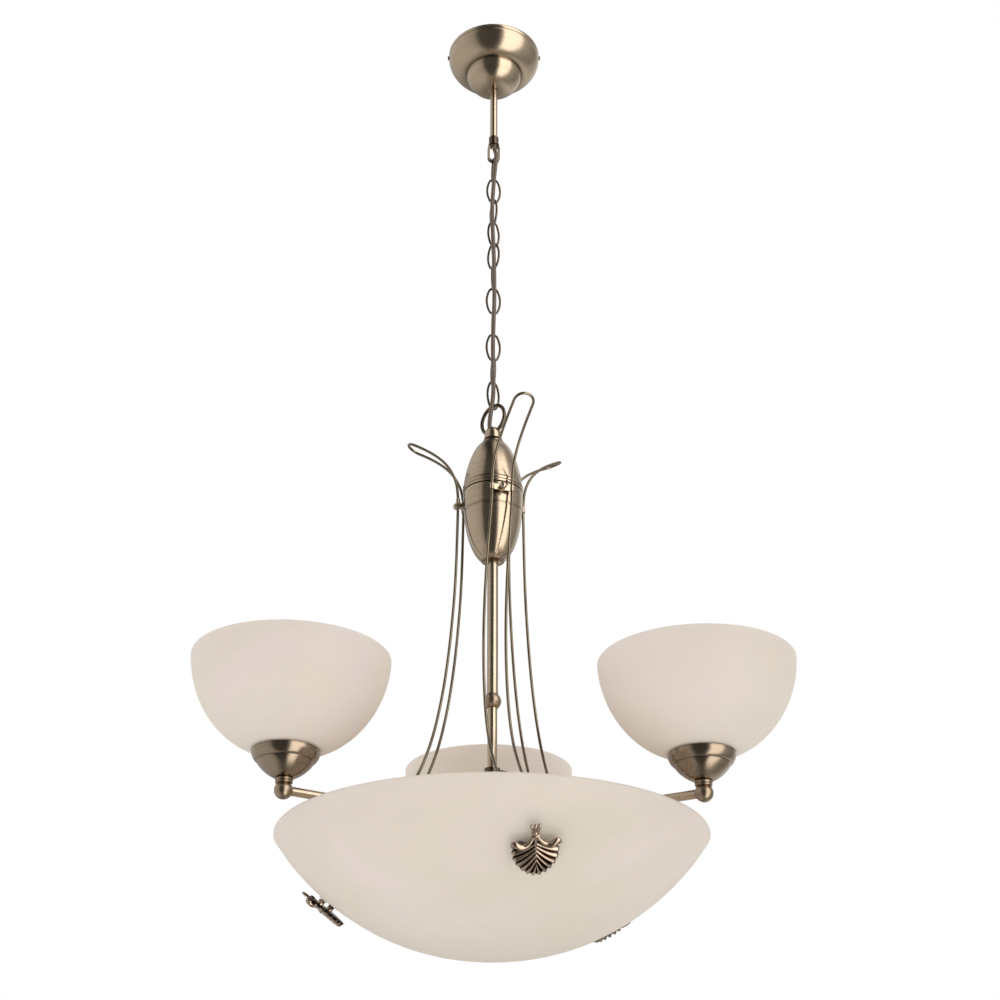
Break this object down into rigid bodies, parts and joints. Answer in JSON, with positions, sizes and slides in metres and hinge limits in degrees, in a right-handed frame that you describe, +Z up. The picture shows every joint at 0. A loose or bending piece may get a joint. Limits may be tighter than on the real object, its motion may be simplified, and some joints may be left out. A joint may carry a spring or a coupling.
{
  "type": "bowl pendant ceiling light",
  "caption": "Alabaster-glass bowl pendant with small upturned shades on arms, wire hairpins, an egg-shaped body, a chain and a ceiling cup in antique metal.",
  "frame": {"origin": "in the ceiling plane on the pendant's axis, midway between the two screw slots of the crossbar", "axes": "+Z up out of the fixture towards the ceiling, +Y towards the rear arm and away from the viewer of the picture, +X to the viewer's right"},
  "size_m": [0.6118, 0.5626, 1.194],
  "materials": {
    "antique_metal": "antique, brushed round the turning axis, lacquered",
    "dark_bronze": "dark bronzed steel, worn lighter on the high spots",
    "bronze_wire": "bronzed wire, satin",
    "alabaster_glass": "opal alabaster-pattern glass, satin outside",
    "zinc_steel": "zinc plated",
    "porcelain": "glazed",
    "white_plastic": "matte",
    "cord_sheath": "taupe sheath, satin",
    "rubber": "matte"
  },
  "bodies": {
    "ceiling_mount": {"ceiling_crossbar": "zinc_steel", "rod_lock_nuts": "zinc_steel", "canopy_screws": "zinc_steel", "ceiling_canopy": "antique_metal", "canopy_terminal_block": "white_plastic", "drop_rod": "antique_metal", "rod_collar_nut": "antique_metal", "hanger_stirrup": "dark_bronze", "supply_cord": "cord_sheath"},
    "link_01": {"chain_link_01": "dark_bronze"},
    "link_02": {"chain_link_02": "dark_bronze"},
    "link_03": {"chain_link_03": "dark_bronze"},
    "link_04": {"chain_link_04": "dark_bronze"},
    "link_05": {"chain_link_05": "dark_bronze"},
    "link_06": {"chain_link_06": "dark_bronze"},
    "link_07": {"chain_link_07": "dark_bronze"},
    "link_08": {"chain_link_08": "dark_bronze"},
    "link_09": {"chain_link_09": "dark_bronze"},
    "link_10": {"chain_link_10": "dark_bronze"},
    "link_11": {"chain_link_11": "dark_bronze"},
    "ring": {"suspension_ring": "dark_bronze"},
    "fixture": {"finial_cap": "antique_metal", "egg_top_bushing": "antique_metal", "egg_upper_shell": "antique_metal", "egg_lower_shell": "antique_metal", "hairpin_front": "bronze_wire", "hairpin_left": "bronze_wire", "hairpin_right": "bronze_wire", "hairpin_clips": "bronze_wire", "clip_ball_screws": "antique_metal", "upper_rod": "antique_metal", "centre_ball": "antique_metal", "lower_rod": "antique_metal", "hub_body": "antique_metal", "hub_cover": "antique_metal", "hub_terminal_block": "white_plastic", "arm_tube_1": "antique_metal", "arm_ball_1": "antique_metal", "shade_cup_1": "antique_metal", "shade_lampholder_1": "porcelain", "shade_glass_1": "alabaster_glass", "arm_tube_2": "antique_metal", "arm_ball_2": "antique_metal", "shade_cup_2": "antique_metal", "shade_lampholder_2": "porcelain", "shade_glass_2": "alabaster_glass", "arm_tube_3": "antique_metal", "arm_ball_3": "antique_metal", "shade_cup_3": "antique_metal", "shade_lampholder_3": "porcelain", "shade_glass_3": "alabaster_glass", "shade_clamp_rings": "white_plastic", "bowl_glass": "alabaster_glass", "shell_ornament_front": "antique_metal", "shell_ornament_left": "antique_metal", "shell_ornament_right": "antique_metal", "glass_washers": "rubber", "bowl_lamp_bracket": "zinc_steel", "bowl_lampholder_1": "porcelain", "bowl_lampholder_2": "porcelain"}
  },
  "joints": [
    {"name": "stirrup_to_link_01", "type": "hinge", "parent": "ceiling_mount", "child": "link_01", "pos_m": [0, 0, -0.18313], "axis": [0.9703, 0.2419, 0], "range_deg": [-12, 12], "deforming": ["supply_cord"]},
    {"name": "link_01_to_link_02", "type": "hinge", "parent": "link_01", "child": "link_02", "pos_m": [0, 0, -0.21447], "axis": [-0.2419, 0.9703, 0], "range_deg": [-12, 12], "deforming": ["supply_cord"]},
    {"name": "link_02_to_link_03", "type": "hinge", "parent": "link_02", "child": "link_03", "pos_m": [0, 0, -0.24857], "axis": [0.9781, 0.2079, 0], "range_deg": [-12, 12], "deforming": ["supply_cord"]},
    {"name": "link_03_to_link_04", "type": "hinge", "parent": "link_03", "child": "link_04", "pos_m": [0, 0, -0.28268], "axis": [-0.4695, 0.8829, 0], "range_deg": [-12, 12], "deforming": ["supply_cord"]},
    {"name": "link_04_to_link_05", "type": "hinge", "parent": "link_04", "child": "link_05", "pos_m": [0, 0, -0.31677], "axis": [0.7986, 0.6018, 0], "range_deg": [-12, 12], "deforming": ["supply_cord"]},
    {"name": "link_05_to_link_06", "type": "hinge", "parent": "link_05", "child": "link_06", "pos_m": [0, 0, -0.35087], "axis": [-0.809, 0.5878, 0], "range_deg": [-12, 12], "deforming": ["supply_cord"]},
    {"name": "link_06_to_link_07", "type": "hinge", "parent": "link_06", "child": "link_07", "pos_m": [0, 0, -0.38498], "axis": [0.2079, 0.9781, 0], "range_deg": [-12, 12], "deforming": ["supply_cord"]},
    {"name": "link_07_to_link_08", "type": "hinge", "parent": "link_07", "child": "link_08", "pos_m": [0, 0, -0.41907], "axis": [0.9781, 0.2079, 0], "range_deg": [-12, 12], "deforming": ["supply_cord"]},
    {"name": "link_08_to_link_09", "type": "hinge", "parent": "link_08", "child": "link_09", "pos_m": [0, 0, -0.45317], "axis": [-0.1736, 0.9848, 0], "range_deg": [-12, 12], "deforming": ["supply_cord"]},
    {"name": "link_09_to_link_10", "type": "hinge", "parent": "link_09", "child": "link_10", "pos_m": [0, 0, -0.48728], "axis": [0.9613, 0.2756, 0], "range_deg": [-12, 12], "deforming": ["supply_cord"]},
    {"name": "link_10_to_link_11", "type": "hinge", "parent": "link_10", "child": "link_11", "pos_m": [0, 0, -0.52138], "axis": [-0.2756, 0.9613, 0], "range_deg": [-12, 12], "deforming": ["supply_cord"]},
    {"name": "link_11_to_ring", "type": "hinge", "parent": "link_11", "child": "ring", "pos_m": [0, 0, -0.55548], "axis": [0.7986, 0.6018, 0], "range_deg": [-12, 12], "deforming": ["supply_cord"]},
    {"name": "ring_to_fixture", "type": "hinge", "parent": "ring", "child": "fixture", "pos_m": [0, 0, -0.57015], "axis": [-0.6947, -0.7193, 0], "range_deg": [-12, 12], "deforming": ["supply_cord"]}
  ]
}
